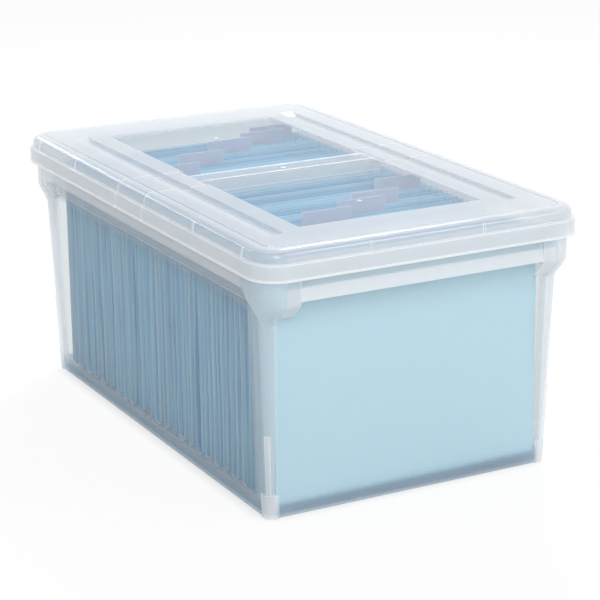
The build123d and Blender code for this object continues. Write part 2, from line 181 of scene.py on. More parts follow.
# ---------------------------------------------------------------- settings
class FILEBOX_PG_plastic(bpy.types.PropertyGroup):
    """Translucent plastic of the tub and the lid."""

    milk: colour_property("Milk", "Colour of the milky share of the plastic", "#F1F2F4")
    lid_milk: colour_property("Lid milk", "Colour of the milky share of the lid", "#EBEDF0")
    # Painted highlight: the near-white milk along edges, beads, lip, step and ramps; also the white of the
    # torn gate marks.
    glow: colour_property("Glow", "The same along the edges, which light runs to", "#FDFDFD")
    # Painted light: a blue milk that stands in for light scattered from the card behind.
    painted_card_light: colour_property("Near card", "The same where it takes blue from the card behind", "#D9E6EC")
    # Painted shade: a darker blue-grey milk at the tub's foot, for the shade under the box.
    foot: colour_property("Foot", "The same at the tub's foot, where little light comes", "#B0C4D3")
    clear: colour_property("Clear", "Tint of the clear share of each face", "#F8F9F9")
    tub_haze: share_property("Tub haze", "Milky share of each face of the tub's walls", 0.05)
    corner_haze: share_property("Corner haze", "The same at the tub's four upright corners", 0.46)
    arc_haze: share_property("Arc haze", "The same where those corners turn", 0.6)
    rim_haze: share_property("Rim haze", "The same at the rim band", 0.34)
    hand_haze: share_property("Hand hold haze", "The same at the leaning part of the hand holds", 0.66)
    rail_haze: share_property("Rail haze", "The same at the file rails", 0.25)
    foot_haze: share_property("Foot haze", "The same at the tub's foot", 0.5)
    lump_haze: share_property("Lump haze", "The same at the corner feet and the ribs above them", 0.62)
    lid_haze: share_property("Lid haze", "Milky share of each face of the lid", 0.55)
    shoulder_haze: share_property("Shoulder haze", "The same on the rounded shoulder", 0.4)
    groove_haze: share_property("Groove haze", "The same in the fine groove round the lid's top", 0.25)
    bridge_haze: share_property("Bridge haze", "The same between the beads of the bridge", 0.24)
    window_haze: share_property("Window haze", "The same in the windows", 0.07)
    # Painted highlight: the milky share on the beads, lip, step and ramps; also the haze of the torn gate
    # marks.
    highlight_and_gate_haze: share_property("Line haze", "The same on the lid's beads, lip and step", 0.9)
    slant_haze: share_property("Slant haze", "Milky share added where a face is seen at a slant", 0.12)
    # Painted highlight: the milky share added along the edges.
    edge_highlight: share_property("Edge glow", "Milky share added along the edges", 0.6)
    gloss: share_property("Gloss", "What a face mirrors straight on", 0.025)
    graze: share_property("Graze", "How much more it mirrors at a grazing angle", 0.2)
    roughness: share_property("Roughness", "Roughness of the moulded skin", 0.18)


class FILEBOX_PG_gate(bpy.types.PropertyGroup):
    """Rings left where the lid's mouldings were filled."""

    ring_radius: length_property("Ring radius", "From the middle of a mark to its ring", 2.1 * MM)
    ring_width: length_property("Ring width", "Width of the ring", 1.4 * MM)
    ring_height: length_property("Ring height", "How far the ring stands up", 0.35 * MM)


class FILEBOX_PG_card(bpy.types.PropertyGroup):
    """Card of the hanging folders."""

    # Painted light: the pale card stands for lit copies of the card on the outermost panels and for the light
    # the cut edges catch.
    pale: colour_property("Pale blue", "Card of the outermost panels and of the cut edges", "#BEDDEA")
    light: colour_property("Light blue", "Lightest of the other panels", "#96D2EC")
    deep: colour_property("Deep blue", "Darkest of the other panels", "#58A5D1")
    thickness: length_property("Thickness", "Thickness of the card", 0.5 * MM)
    warp: length_property("Warp", "How far a panel stands off its straight place", 3.2 * MM)
    ripple: length_property("Ripple", "Height of the waves along a panel", 0.5 * MM)
    seed: bpy.props.IntProperty(name="Seed", description="Start of the random warps", default=11)


class FILEBOX_PG_tab(bpy.types.PropertyGroup):
    """Tabs on the folders."""

    plastic: colour_property("Plastic", "Tint of the tab", "#F1F4FA")
    paper: colour_property("Paper", "Colour of the strip inside", "#CBD3E6")


class FILEBOX_PG_stage(bpy.types.PropertyGroup):
    """Camera and lamps."""

    camera_place: bpy.props.FloatVectorProperty(name="Camera", description="Place of the camera",
                                                unit="LENGTH", default=(-1.0244, -1.9675, 0.8085))
    heading: angle_property("Heading", "Turn of the camera about the upright", 27.93)
    fall: angle_property("Fall", "How far the camera looks down", 17.06)
    roll: angle_property("Roll", "Turn of the picture", -0.64)
    lens: bpy.props.FloatProperty(name="Lens", description="Focal length in millimetres", default=127.68)
    sky: bpy.props.FloatProperty(name="Sky", description="Strength of the even light", default=0.66)
    key: power_property("Key", "Power of the lamp before the front left corner", 28)
    side: power_property("Side", "Power of the lamp to the right, which draws the shoulder", 15)
    back: power_property("Back", "Power of the lamp behind, which draws beads and ramps", 32)
    strip: power_property("Strip", "Power of the strip behind, which draws the long edges", 9)


# ---------------------------------------------------------------- node helpers
def add(tree, kind, settings=None, links=None):
    """Add a shader node, set its attributes or sockets, and link outputs of other nodes into it."""
    node = tree.nodes.new(kind)
    for name, value in (settings or {}).items():
        if isinstance(name, str) and hasattr(node, name):
            setattr(node, name, value)
        else:
            node.inputs[name].default_value = value
    for name, source in (links or {}).items():
        tree.links.new(source, node.inputs[name])
    return node


def new_material(name):
    """A material with an empty node tree, and that tree."""
    material = bpy.data.materials.new(name)
    material.use_nodes = True
    material.node_tree.nodes.clear()
    return material, material.node_tree


def combine(tree, operation, first, second):
    """One step of arithmetic on two values, each a number or an output."""
    given = {i: v for i, v in enumerate((first, second)) if isinstance(v, (int, float))}
    linked = {i: v for i, v in enumerate((first, second)) if not isinstance(v, (int, float))}
    return add(tree, "ShaderNodeMath", {"operation": operation, **given}, linked).outputs[0]


def above(tree, value, limit, soft=0.1 * MM):
    """1 where a value is over a limit and 0 under it, with a soft edge."""
    limits = {"From Min": limit - soft, "From Max": limit + soft}
    return add(tree, "ShaderNodeMapRange", limits, {"Value": value}).outputs[0]


def under(tree, value, limit, soft=0.1 * MM):
    """The reverse of above."""
    return combine(tree, "SUBTRACT", 1.0, above(tree, value, limit, soft))


def within(tree, value, low, high, soft=0.1 * MM):
    """1 where a value lies between two limits and 0 outside, with soft edges."""
    return combine(tree, "SUBTRACT", above(tree, value, low, soft), above(tree, value, high, soft))


def zone(tree, *masks):
    """Where all of some masks hold."""
    whole = masks[0]
    for mask in masks[1:]:
        whole = combine(tree, "MULTIPLY", whole, mask)
    return whole


def haziest(tree, plain, zones):
    """The plain haze, or that of a zone where it is more; zones is a list of a mask and its haze."""
    haze = plain
    for mask, share in zones:
        haze = combine(tree, "MAXIMUM", haze, combine(tree, "MULTIPLY", mask, share))
    return haze


def clearer(tree, haze, mask, drop):
    """The haze with some taken off where a mask holds."""
    return combine(tree, "SUBTRACT", haze, combine(tree, "MULTIPLY", mask, drop))


def places(tree):
    """Distance from the middle across and along the box, height, and how far to the front and the right."""
    where = add(tree, "ShaderNodeTexCoord")
    split = add(tree, "ShaderNodeSeparateXYZ", links={0: where.outputs["Object"]})
    right, back, height = split.outputs["X"], split.outputs["Y"], split.outputs["Z"]
    across = combine(tree, "ABSOLUTE", right, 0.0)
    along = combine(tree, "ABSOLUTE", back, 0.0)
    forward = combine(tree, "MULTIPLY", back, -1.0)
    return across, along, height, forward, right


def gloss_share(tree, straight, graze):
    """How much a plastic skin mirrors: a share straight on, and more by a power of how far it turns away."""
    facing = add(tree, "ShaderNodeLayerWeight", {"Blend": 0.5})
    steep = combine(tree, "POWER", facing.outputs["Facing"], GLOSS_POWER)
    return combine(tree, "ADD", combine(tree, "MULTIPLY", steep, graze), straight)


def edge_highlight(tree):
    """1 along a moulding's edges and 0 on its faces, from how far a rounded normal leans off the true one:
    where a painted highlight goes.
    """
    rounded = add(tree, "ShaderNodeBevel", {"samples": 12, "Radius": EDGE_REACH})
    true = add(tree, "ShaderNodeNewGeometry")
    lean = add(tree, "ShaderNodeVectorMath", {"operation": "DOT_PRODUCT"},
               {0: rounded.outputs[0], 1: true.outputs["True Normal"]})
    flat = combine(tree, "ABSOLUTE", lean.outputs["Value"], 0.0)
    limits = {"From Min": EDGE_LEAN[0], "From Max": EDGE_LEAN[1]}
    return add(tree, "ShaderNodeMapRange", limits, {"Value": flat}).outputs[0]


def mix_colour(tree, share, first, second):
    """One colour over to another, each a colour or an output."""
    given = {i: v for i, v in ((6, first), (7, second)) if not isinstance(v, bpy.types.NodeSocket)}
    linked = {i: v for i, v in ((6, first), (7, second)) if isinstance(v, bpy.types.NodeSocket)}
    return add(tree, "ShaderNodeMix", {"data_type": "RGBA", **given}, {0: share, **linked}).outputs[2]


def milky_plastic(tree, haze, milk, lines, settings, plain=0.0):
    """Clear plastic with a milky share that glows with the light behind it, and a painted highlight along its
    edges, where the milky share grows and turns near white.

    haze is the milky share, milk the colour of that share, lines a mask of the slim beads, lips and ramps
    that take the same painted highlight as the edges do, or None, and plain a mask of where edges are too
    slight to take it. At a slant the light has further to go through the wall, so the milky share grows.
    """
    facing = add(tree, "ShaderNodeLayerWeight", {"Blend": 0.5})
    turned = combine(tree, "POWER", facing.outputs["Facing"], SLANT_POWER)
    slant = combine(tree, "MULTIPLY", turned, settings.slant_haze)
    # Painted highlight: along the edges and on the lines the milky share grows and its colour turns near
    # white.
    edge = combine(tree, "MULTIPLY", edge_highlight(tree), combine(tree, "SUBTRACT", 1.0, plain))
    total = combine(tree, "ADD", haze, slant)
    total = combine(tree, "ADD", total, combine(tree, "MULTIPLY", edge, settings.edge_highlight))
    if lines is not None:
        total = combine(tree, "MAXIMUM", total, combine(tree, "MULTIPLY", lines, settings.highlight_and_gate_haze))
        edge = combine(tree, "MAXIMUM", edge, lines)
    colour = mix_colour(tree, edge, milk, settings.glow)
    clear = add(tree, "ShaderNodeBsdfTransparent", {"Color": settings.clear})
    front = add(tree, "ShaderNodeBsdfDiffuse", links={"Color": colour})
    back = add(tree, "ShaderNodeBsdfTranslucent", links={"Color": colour})
    cloud = add(tree, "ShaderNodeMixShader", {0: PASSED_ON}, {1: front.outputs[0], 2: back.outputs[0]})
    wall = add(tree, "ShaderNodeMixShader", links={
        0: combine(tree, "MINIMUM", total, MOST_HAZE), 1: clear.outputs[0], 2: cloud.outputs[0]})
    shine = add(tree, "ShaderNodeBsdfGlossy", {"Color": (1, 1, 1, 1), "Roughness": settings.roughness})
    mirrored = gloss_share(tree, settings.gloss, settings.graze)
    skin = add(tree, "ShaderNodeMixShader", links={0: mirrored, 1: wall.outputs[0], 2: shine.outputs[0]})
    return skin.outputs[0]


# ---------------------------------------------------------------- materials
def tub_polypropylene(settings):
    """Natural polypropylene, injection moulded: see-through walls, milky where they are thick or curved."""
    material, tree = new_material("tub_polypropylene_moulded")
    across, along, height, forward, right = places(tree)
    corners = zone(tree, above(tree, across, CORNER_X, 2 * MM), above(tree, along, CORNER_Y, 9 * MM))
    arcs = zone(tree, above(tree, across, CORNER_X, 2 * MM), above(tree, along, ARC_Y, 2 * MM))
    swells = zone(tree, above(tree, across, SWELL_X), above(tree, along, SWELL_Y),
                  above(tree, height, SWELL_Z))
    ends = above(tree, along, HAND_Y)
    between = under(tree, across, HAND_X)
    rim = zone(tree, above(tree, height, RIM_Z), under(tree, along, HAND_Y))
    rails = zone(tree, within(tree, across, *RAIL_X), above(tree, height, RAIL_Z))
    ridges = zone(tree, rails, above(tree, height, RAIL_TOP - 4 * MM, 1 * MM))
    foot_ends = zone(tree, above(tree, along, FOOT_Y), under(tree, height, FOOT_Z[0], 1.5 * MM))
    foot_sides = zone(tree, under(tree, along, FOOT_Y), under(tree, height, FOOT_Z[1], 6 * MM))
    foot = combine(tree, "MAXIMUM", foot_ends, foot_sides)
    lumps = [zone(tree, above(tree, across, x, 0.5 * MM), above(tree, along, y, 0.5 * MM),
                  under(tree, height, top)) for x, y, top in (CORNER_FOOT, CORNER_RIB)]
    haze = haziest(tree, settings.tub_haze, [
        (corners, settings.corner_haze),
        (arcs, settings.arc_haze),
        (swells, settings.corner_haze),
        (zone(tree, ends, between, above(tree, height, HAND_Z[1])), settings.rim_haze),
        (zone(tree, ends, between, within(tree, height, *HAND_Z, 1.5 * MM)), settings.hand_haze),
        (rim, settings.rim_haze),
        (rails, settings.rail_haze),
        (ridges, settings.lump_haze),
        (foot, settings.foot_haze),
        (lumps[0], settings.lump_haze),
        (lumps[1], settings.lump_haze),
    ])
    # Painted light: the front's corners and top band take a blue that stands in for light scattered from the
    # card behind, but not the right pillar, which stands clear.
    near = combine(tree, "MAXIMUM", corners, zone(tree, ends, above(tree, height, HAND_Z[1])))
    near = zone(tree, near, above(tree, forward, 0.0), under(tree, right, PILLAR_X, 1 * MM))
    milk = mix_colour(tree, near, settings.milk, settings.painted_card_light)
    # Painted shade: the foot's milk takes the darker blue-grey colour.
    milk = mix_colour(tree, foot, milk, settings.foot)
    milk = mix_colour(tree, combine(tree, "MAXIMUM", *lumps), milk, settings.milk)
    surface = milky_plastic(tree, haze, milk, None, settings)
    add(tree, "ShaderNodeOutputMaterial", links={"Surface": surface})
    return material


def lid_polypropylene(settings):
    """The same plastic from a matt mould, which hides what is below; windows polished, bridge clearer."""
    material, tree = new_material("lid_polypropylene_matt")
    across, along, height = places(tree)[:3]
    middle = under(tree, across, WINDOW_X)
    window = zone(tree, middle, within(tree, height, *WINDOW_Z), within(tree, along, HINGE_Y[0], WINDOW_Y))
    bridge = zone(tree, middle, under(tree, along, HINGE_Y[0]))
    outer = combine(tree, "MAXIMUM", above(tree, across, SHOULDER_X), above(tree, along, SHOULDER_Y))
    shoulder = zone(tree, outer, within(tree, height, STEP_Z + 0.5 * MM, LID_HIGH - 2.5 * MM, 0.5 * MM))
    groove = within(tree, height, GROOVE_Z - 0.1 * MM, GROOVE_Z + 0.1 * MM, 0.05 * MM)
    haze = settings.lid_haze
    haze = clearer(tree, haze, window, settings.lid_haze - settings.window_haze)
    haze = clearer(tree, haze, bridge, settings.lid_haze - settings.bridge_haze)
    haze = clearer(tree, haze, shoulder, settings.lid_haze - settings.shoulder_haze)
    haze = clearer(tree, haze, groove, settings.lid_haze - settings.groove_haze)
    # The groove's own edges are too slight to take the painted highlight.
    top = above(tree, height, LID_HIGH - 1.2 * MM)
    sides = combine(tree, "MAXIMUM", within(tree, across, *GROOVE_X), within(tree, along, *GROOVE_Y))
    # Painted highlights: white lines on the bridge's beads, the lip and the step, and white patches on the
    # troughs' far ramps.
    beads = zone(tree, bridge, above(tree, along, BEAD_Y), above(tree, height, WINDOW_Z[1]))
    lip = under(tree, height, LIP_Z, 0.3 * MM)
    step = within(tree, height, STEP_Z - 1.3 * MM, STEP_Z + 0.2 * MM, 0.3 * MM)
    ramps = zone(tree, within(tree, across, *TROUGH_X), within(tree, along, *RAMP_Y),
                 above(tree, height, STEP_Z))
    lines = haziest(tree, beads, [(lip, LIP_HIGHLIGHT), (step, LIP_HIGHLIGHT), (ramps, RAMP_HIGHLIGHT)])
    surface = milky_plastic(tree, haze, settings.lid_milk, lines, settings, zone(tree, top, sides))
    add(tree, "ShaderNodeOutputMaterial", links={"Surface": surface})
    return material


def gate_polypropylene(settings):
    """The same plastic, torn off where the moulding was filled, which clouds it white."""
    material, tree = new_material("gate_polypropylene_torn")
    surface = milky_plastic(tree, settings.highlight_and_gate_haze, settings.glow, None, settings)
    add(tree, "ShaderNodeOutputMaterial", links={"Surface": surface})
    return material


def blue_card(settings):
    """Uncoated card, dyed in the pulp: next to no shine, faint fibres, and a painted highlight on its cut
    edges.

    Each sheet is a little lighter or darker. Towards its upright edges, upright streaks a few millimetres
    apart
    lighten and darken it: painted light and shade.
    """
    material, tree = new_material("card_dyed_uncoated")
    where = add(tree, "ShaderNodeTexCoord")
    shade = add(tree, "ShaderNodeAttribute", {"attribute_name": "shade"})
    paleness = add(tree, "ShaderNodeAttribute", {"attribute_name": "paleness"})
    fibre = add(tree, "ShaderNodeTexNoise", {"Scale": 1 / (4 * MM), "Detail": 2.0},
                {"Vector": where.outputs["Object"]})
    faint = combine(tree, "MULTIPLY", fibre.outputs["Fac"], 0.02)
    # Painted light and shade: upright streaks near the card's upright edges.
    stretch = add(tree, "ShaderNodeMapping", {"Scale": (1 / (2.6 * MM), 1 / (9 * MM), 1 / (160 * MM))},
                  {"Vector": where.outputs["Object"]})
    streak_noise = add(tree, "ShaderNodeTexNoise", {"Scale": 1.0, "Detail": 2.0, "Roughness": 0.6},
                  {"Vector": stretch.outputs[0]})
    limits = {"From Min": 0.38, "From Max": 0.62, "To Min": -1.1, "To Max": 0.5}
    streak_light_and_shade = add(tree, "ShaderNodeMapRange", limits, {"Value": streak_noise.outputs["Fac"]})
    near_edge = above(tree, places(tree)[0], STREAK_X, 14 * MM)
    tone = combine(tree, "ADD", shade.outputs["Fac"], faint)
    tone = combine(tree, "ADD", tone, combine(tree, "MULTIPLY", streak_light_and_shade.outputs[0], near_edge))
    body = mix_colour(tree, tone, settings.light, settings.deep)
    # Painted light: the pale card on the outermost panels and along the cut edges.
    colour = mix_colour(tree, paleness.outputs["Fac"], body, settings.pale)
    surface = add(tree, "ShaderNodeBsdfPrincipled", {"Roughness": 0.85, "Specular IOR Level": 0.25},
                  {"Base Color": colour})
    add(tree, "ShaderNodeOutputMaterial", links={"Surface": surface.outputs[0]})
    return material


def plated_steel():
    """Steel strip, zinc plated: grey, with long lines from rolling, a millimetre or less apart."""
    material, tree = new_material("steel_strip_plated")
    where = add(tree, "ShaderNodeTexCoord")
    stretch = add(tree, "ShaderNodeMapping", {"Scale": (1 / (50 * MM), 1 / (1 * MM), 1 / (0.4 * MM))},
                  {"Vector": where.outputs["Object"]})
    lines = add(tree, "ShaderNodeTexNoise", {"Scale": 1.0, "Detail": 2.0}, {"Vector": stretch.outputs[0]})
    rough = add(tree, "ShaderNodeMapRange", {"To Min": 0.35, "To Max": 0.5}, {"Value": lines.outputs["Fac"]})
    surface = add(tree, "ShaderNodeBsdfPrincipled", {"Base Color": linear("#E6EBF2"), "Metallic": 1.0},
                  {"Roughness": rough.outputs[0]})
    add(tree, "ShaderNodeOutputMaterial", links={"Surface": surface.outputs[0]})
    return material


def tab_vinyl(settings):
    """Tinted clear vinyl, pressed: see-through with a lavender cast."""
    material, tree = new_material("tab_vinyl_pressed")
    clear = add(tree, "ShaderNodeBsdfTransparent", {"Color": settings.plastic})
    solid = add(tree, "ShaderNodeBsdfDiffuse", {"Color": settings.plastic})
    # Painted highlight: the vinyl turns more solid and lighter along its edges.
    haze = combine(tree, "ADD", combine(tree, "MULTIPLY", edge_highlight(tree), TAB_EDGE), TAB_HAZE)
    wall = add(tree, "ShaderNodeMixShader", links={0: haze, 1: clear.outputs[0], 2: solid.outputs[0]})
    shine = add(tree, "ShaderNodeBsdfGlossy", {"Color": (1, 1, 1, 1), "Roughness": 0.12})
    surface = add(tree, "ShaderNodeMixShader", links={
        0: gloss_share(tree, TAB_GLOSS, TAB_GRAZE), 1: wall.outputs[0], 2: shine.outputs[0]})
    add(tree, "ShaderNodeOutputMaterial", links={"Surface": surface.outputs[0]})
    return material


def strip_paper(settings):
    """Plain uncoated paper: no shine, and a faint mottle from its fibres."""
    material, tree = new_material("paper_strip_plain")
    where = add(tree, "ShaderNodeTexCoord")
    fibre = add(tree, "ShaderNodeTexNoise", {"Scale": 1 / (1.5 * MM), "Detail": 3.0},
                {"Vector": where.outputs["Object"]})
    value = add(tree, "ShaderNodeMapRange", {"To Min": 0.94, "To Max": 1.06}, {"Value": fibre.outputs["Fac"]})
    colour = add(tree, "ShaderNodeHueSaturation", {"Color": settings.paper}, {"Value": value.outputs[0]})
    surface = add(tree, "ShaderNodeBsdfPrincipled", {"Roughness": 0.9}, {"Base Color": colour.outputs[0]})
    add(tree, "ShaderNodeOutputMaterial", links={"Surface": surface.outputs[0]})
    return material


def dress(node, material):
    """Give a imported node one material."""
    mesh = NODES[node].data
    mesh.materials.clear()
    mesh.materials.append(material)


# ---------------------------------------------------------------- surfaces
def grid_mesh(name, points):
    """A mesh of four-sided faces over a grid of points, rows by columns by three."""
    rows, columns = points.shape[:2]
    corner = np.arange(rows * columns).reshape(rows, columns)
    faces = np.stack([corner[:-1, :-1], corner[:-1, 1:], corner[1:, 1:], corner[1:, :-1]], axis=-1)
    faces = faces.reshape(-1, 4)
    mesh = bpy.data.meshes.new(name)
    mesh.vertices.add(rows * columns)
    mesh.vertices.foreach_set("co", points.reshape(-1).astype(np.float32))
    mesh.loops.add(faces.size)
    mesh.loops.foreach_set("vertex_index", faces.reshape(-1).astype(np.int32))
    mesh.polygons.add(len(faces))
    mesh.polygons.foreach_set("loop_start", np.arange(0, faces.size, 4, dtype=np.int32))
    mesh.update(calc_edges=True)
    return mesh


def new_object(context, name, mesh):
    """An object in the scene that shows a mesh."""
    thing = bpy.data.objects.new(name, mesh)
    context.scene.collection.objects.link(thing)
    return thing


def folder_path(front, rear, low, top, hem, loop):
    """Centre line of a folder's card: y, z and the panel each point belongs to (-1 front, 1 rear, 0 bottom).

    From the front hem's loose end it climbs inside the hem, goes round the hanger in a half circle, falls
    straight to the bottom, turns two quarter circles, and climbs to the rear hem, which mirrors the front.
    Just below the hem it swings in from the hanger's front to under its middle.
    """
    middle = (front + rear) / 2
    round_top = np.linspace(0, np.pi, 7)
    inside = np.linspace(top - hem, top - loop, 4)[:-1]
    fall = np.linspace(top - loop, low + CARD_TURN, 46)[1:]
    corner = np.linspace(0, np.pi / 2, 5)[1:]
    settle = np.clip((top - fall - hem) / CARD_SWING, 0, 1)
    y = np.concatenate([np.full(3, loop), loop * np.cos(round_top), -loop * (1 - settle),
                        CARD_TURN * (1 - np.cos(corner))])
    z = np.concatenate([inside, top - loop + loop * np.sin(round_top), fall,
                        low + CARD_TURN - CARD_TURN * np.sin(corner)])
    side = np.full(len(y), -1.0)
    y = np.concatenate([front + y, [middle], (rear - y)[::-1]])
    z = np.concatenate([z, [low], z[::-1]])
    side = np.concatenate([side, [0.0], -side])
    return y, z, side


def folder_points(number, count, box, hem, loop, settings):
    """Grid of a folder's card, along its centre line by its width.

    Each panel stands off its straight place by a warp plus three sine waves, one even across the width, one
    that grows with the distance from the middle and one that grows with its fourth power. All start below the
    hem. The tub's ends hold the two outermost panels nearly flat.
    """
    low, high = box
    half = settings.thickness / 2
    front = low.y + loop + half
    rear = high.y - loop - half
    y, z, side = folder_path(front, rear, low.z + half, high.z - half, hem, loop)
    across = np.sin(np.linspace(-np.pi / 2, np.pi / 2, 33))
    random = np.random.default_rng(settings.seed + number)
    start = np.clip((high.z - WARP_FROM - z) / WARP_EASE, 0, 1)
    start = (start * start * (3 - 2 * start))[:, None]
    shift = np.zeros((len(z), len(across)))
    for panel in (-1, 1):
        outer = (number == 1 and panel == -1) or (number == count and panel == 1)
        calm = HELD_FLAT if outer else 1.0
        warp = random.uniform(-1, 1) * settings.warp
        phase = random.uniform(0, 2 * np.pi, 3)
        wave = random.uniform(*WAVE_LENGTHS, 3)
        even = np.sin(2 * np.pi * z[:, None] / wave[0] + phase[0])
        sloped = across * np.sin(2 * np.pi * z[:, None] / wave[1] + phase[1])
        edge = across ** 4 * np.sin(2 * np.pi * z[:, None] / (wave[2] / 3) + phase[2])
        panel_shift = calm * (warp + settings.ripple * (even + 0.9 * sloped + 0.7 * edge))
        shift += np.where(side[:, None] == panel, panel_shift, 0.5 * panel_shift * (side[:, None] == 0))
    points = np.empty((len(z), len(across), 3))
    points[..., 0] = across * high.x
    points[..., 1] = y[:, None] + start * shift
    points[..., 2] = z[:, None]
    return points


def web_points(width, near, far, height):
    """Grid of a flat strip: even steps from one long edge to the other, straight across the width."""
    y, x = np.meshgrid(np.linspace(near, far, 9), np.linspace(-width, width, 2), indexing="ij")
    return np.stack([x, y, np.full_like(x, height)], axis=-1)


def ring_mesh(name, centre, settings):
    """A ring that lies half sunk in a face: an ellipse carried round a circle, closed both ways."""
    turn = np.linspace(0, 2 * np.pi, 32, endpoint=False)
    section = np.linspace(0, 2 * np.pi, 10, endpoint=False)[:, None]
    reach = settings.ring_radius + settings.ring_width / 2 * np.cos(section)
    points = np.stack([centre[0] + reach * np.cos(turn), centre[1] + reach * np.sin(turn),
                       centre[2] + settings.ring_height * np.sin(section) + 0 * turn], axis=-1)
    corner = np.arange(turn.size * section.size).reshape(section.size, turn.size)
    beside = np.roll(corner, -1, axis=1)
    faces = np.stack([corner, beside, np.roll(beside, -1, axis=0), np.roll(corner, -1, axis=0)], axis=-1)
    mesh = bpy.data.meshes.new(name)
    mesh.from_pydata(points.reshape(-1, 3), [], faces.reshape(-1, 4))
    mesh.update()
    mesh.shade_smooth()
    return mesh


def made_solid(context, thing, thickness):
    """Give a sheet its thickness on both sides and leave the result as its mesh."""
    modifier = thing.modifiers.new("thickness", "SOLIDIFY")
    modifier.thickness = thickness
    modifier.offset = 0.0
    context.view_layer.update()
    solid = bpy.data.meshes.new_from_object(thing.evaluated_get(context.evaluated_depsgraph_get()))
    thing.modifiers.clear()
    thing.data = solid
    solid.shade_smooth()
    solid.set_sharp_from_angle(angle=SHARP_ANGLE)


def set_number(mesh, name, values):
    """Write one number for each point, for a material to read."""
    layer = mesh.attributes.new(name, "FLOAT", "POINT")
    layer.data.foreach_set("value", np.asarray(values, dtype=np.float32).reshape(-1))


# ---------------------------------------------------------------- operators
class FILEBOX_OT_tub(bpy.types.Operator):
    """Finish the tub"""

    bl_idname = "filebox.tub"
    bl_label = "Tub"

    def execute(self, context):
        dress("tub", tub_polypropylene(context.scene.filebox_plastic))
        return {"FINISHED"}


class FILEBOX_OT_lid(bpy.types.Operator):
    """Finish the lid's bridge and wings"""

    bl_idname = "filebox.lid"
    bl_label = "Lid"

    def execute(self, context):
        plastic = lid_polypropylene(context.scene.filebox_plastic)
        for node in LID_NODES:
            dress(node, plastic)
        return {"FINISHED"}


class FILEBOX_OT_hinges(bpy.types.Operator):
    """Make the thin webs between the bridge and the wings, as flat strips"""

    bl_idname = "filebox.hinges"
    bl_label = "Hinges"

    def execute(self, context):
        plastic = bpy.data.materials["lid_polypropylene_matt"]
        height = sum(HINGE_Z) / 2
        for node, wing, side in (("hinge_front", "front_wing", -1), ("hinge_rear", "rear_wing", 1)):
            near, far = side * HINGE_Y[0], side * HINGE_Y[1]
            mesh = grid_mesh(node + "_web", web_points(HINGE_X, near, far, height))
            mesh.materials.append(plastic)
            thing = new_object(context, node + "_web", mesh)
            made_solid(context, thing, HINGE_Z[1] - HINGE_Z[0])
            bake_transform(thing)
            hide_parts(node)
        return {"FINISHED"}


class FILEBOX_OT_gates(bpy.types.Operator):
    """Make the rings left where the bridge and the wings were filled"""

    bl_idname = "filebox.gates"
    bl_label = "Gate marks"

    def execute(self, context):
        material = gate_polypropylene(context.scene.filebox_plastic)
        for body, along in (("front_wing", -GATE_Y), ("bridge", 0.0), ("rear_wing", GATE_Y)):
            mesh = ring_mesh(body + "_gate", (0.0, along, WINDOW_TOP), context.scene.filebox_gate)
            mesh.materials.append(material)
            thing = new_object(context, body + "_gate", mesh)
            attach(thing, body)
        return {"FINISHED"}


class FILEBOX_OT_folders(bpy.types.Operator):
    """Make the hanging folders' card with its hems and warps"""

    bl_idname = "filebox.folders"
    bl_label = "Folders"

    def execute(self, context):
        settings = context.scene.filebox_card
        material = blue_card(settings)
        random = np.random.default_rng(settings.seed)
        for number, node in enumerate(FOLDER_NODES, 1):
            points = folder_points(number, len(FOLDER_NODES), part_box(node), HEM, HANGER_LOOP, settings)
            mesh = grid_mesh(node + "_card", points)
            rows, columns = points.shape[:2]
            front, rear = random.uniform(0, 1, 2)
            first_half = (np.arange(rows) < rows // 2)[:, None] * np.ones(columns)
            out = np.abs(points[..., 0]) / points[..., 0].max()
            edge = np.clip((out - CUT_EDGE) / CUT_EDGE_SOFT, 0, 1)
            set_number(mesh, "shade", np.where(first_half, front, rear))
            # Painted highlight: a random share of the pale card along each panel's cut edges.
            edge_light_share = np.where(first_half, *random.uniform(0.3, 1.0, 2))
            # Painted light: the two outermost panels take the pale card all over.
            outer = first_half * (number == 1) + (1 - first_half) * (number == len(FOLDER_NODES))
            set_number(mesh, "paleness", np.maximum(edge_light_share * edge, outer))
            thing = new_object(context, node + "_card", mesh)
            mesh.materials.append(material)
            made_solid(context, thing, settings.thickness)
            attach(thing, "files")
            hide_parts(node)
        return {"FINISHED"}


class FILEBOX_OT_hangers(bpy.types.Operator):
    """Finish the hangers"""

    bl_idname = "filebox.hangers"
    bl_label = "Hangers"

    def execute(self, context):
        material = plated_steel()
        for node in HANGER_NODES:
            dress(node, material)
        return {"FINISHED"}


class FILEBOX_OT_tabs(bpy.types.Operator):
    """Finish the tabs and their paper strips"""

    bl_idname = "filebox.tabs"
    bl_label = "Tabs"

    def execute(self, context):
        settings = context.scene.filebox_tab
        dress("tabs", tab_vinyl(settings))
        dress("tab_inserts", strip_paper(settings))
        return {"FINISHED"}


